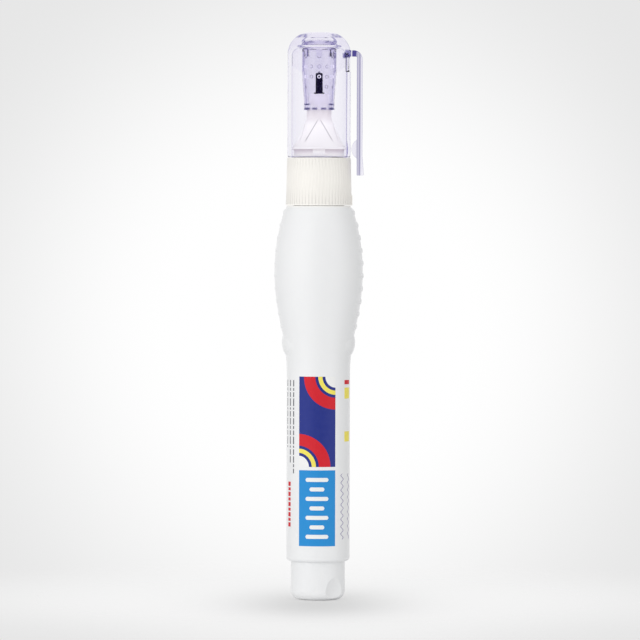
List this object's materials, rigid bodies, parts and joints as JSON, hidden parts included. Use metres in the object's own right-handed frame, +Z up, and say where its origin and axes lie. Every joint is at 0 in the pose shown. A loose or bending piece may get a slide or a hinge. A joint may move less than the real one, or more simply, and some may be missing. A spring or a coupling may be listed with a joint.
{
  "type": "correction pen",
  "caption": "White squeeze correction pen with a ridged grip bulge, fluted collar, sprung metal tip and a clear violet push-on cap with a pocket clip.",
  "frame": {"origin": "centre of the tail's flat foot, on the pen's axis", "axes": "+Z up the pen's axis from the tail to the cap, +X towards the pocket clip, -Y towards the printed front"},
  "size_m": [0.0213, 0.021, 0.135],
  "materials": {
    "bottle_white": "satin blow-moulded polyethylene with printed colour panels",
    "ball_steel": "polished steel ball",
    "plug_natural": "soft natural polyethylene",
    "nozzle_cream": "warm white moulded polypropylene with fine flutes",
    "tip_steel": "turned metal, dark under the cap",
    "needle_steel": "ground steel wire",
    "spring_steel": "drawn spring wire",
    "retainer_brass": "turned brass bush",
    "cap_violet": "clear moulded plastic with a violet-blue tint",
    "sleeve_violet": "clear moulded plastic with a violet-blue tint",
    "clip_violet": "clear moulded plastic with a violet-blue tint"
  },
  "bodies": {
    "bottle": {"bottle": "bottle_white", "inner_plug": "plug_natural", "nozzle_collar": "nozzle_cream", "tip_tube": "tip_steel", "needle_spring": "spring_steel", "spring_retainer": "retainer_brass"},
    "ball": {"mixing_ball": "ball_steel"},
    "needle": {"valve_needle": "needle_steel"},
    "cap": {"cap_shell": "cap_violet", "cap_inner_sleeve": "sleeve_violet"},
    "clip": {"pocket_clip": "clip_violet"}
  },
  "joints": [
    {"name": "cap_pull", "type": "slide", "parent": "bottle", "child": "cap", "axis": [0, 0, 1], "range_m": [0, 0.03]},
    {"name": "clip_flex", "type": "hinge", "parent": "cap", "child": "clip", "pos_m": [0.00776, 0, 0.1307], "axis": [0, -1, 0], "range_deg": [0, 4], "stiffness_Nm_per_rad": 0.4},
    {"name": "needle_press", "type": "slide", "parent": "bottle", "child": "needle", "axis": [0, 0, -1], "range_m": [0, 0.0005], "stiffness_N_per_m": 150, "springref_m": -0.002, "deforming": ["needle_spring"]},
    {"name": "ball_shake", "type": "slide", "parent": "bottle", "child": "ball", "axis": [0, 0, 1], "range_m": [0, 0.0953]}
  ]
}
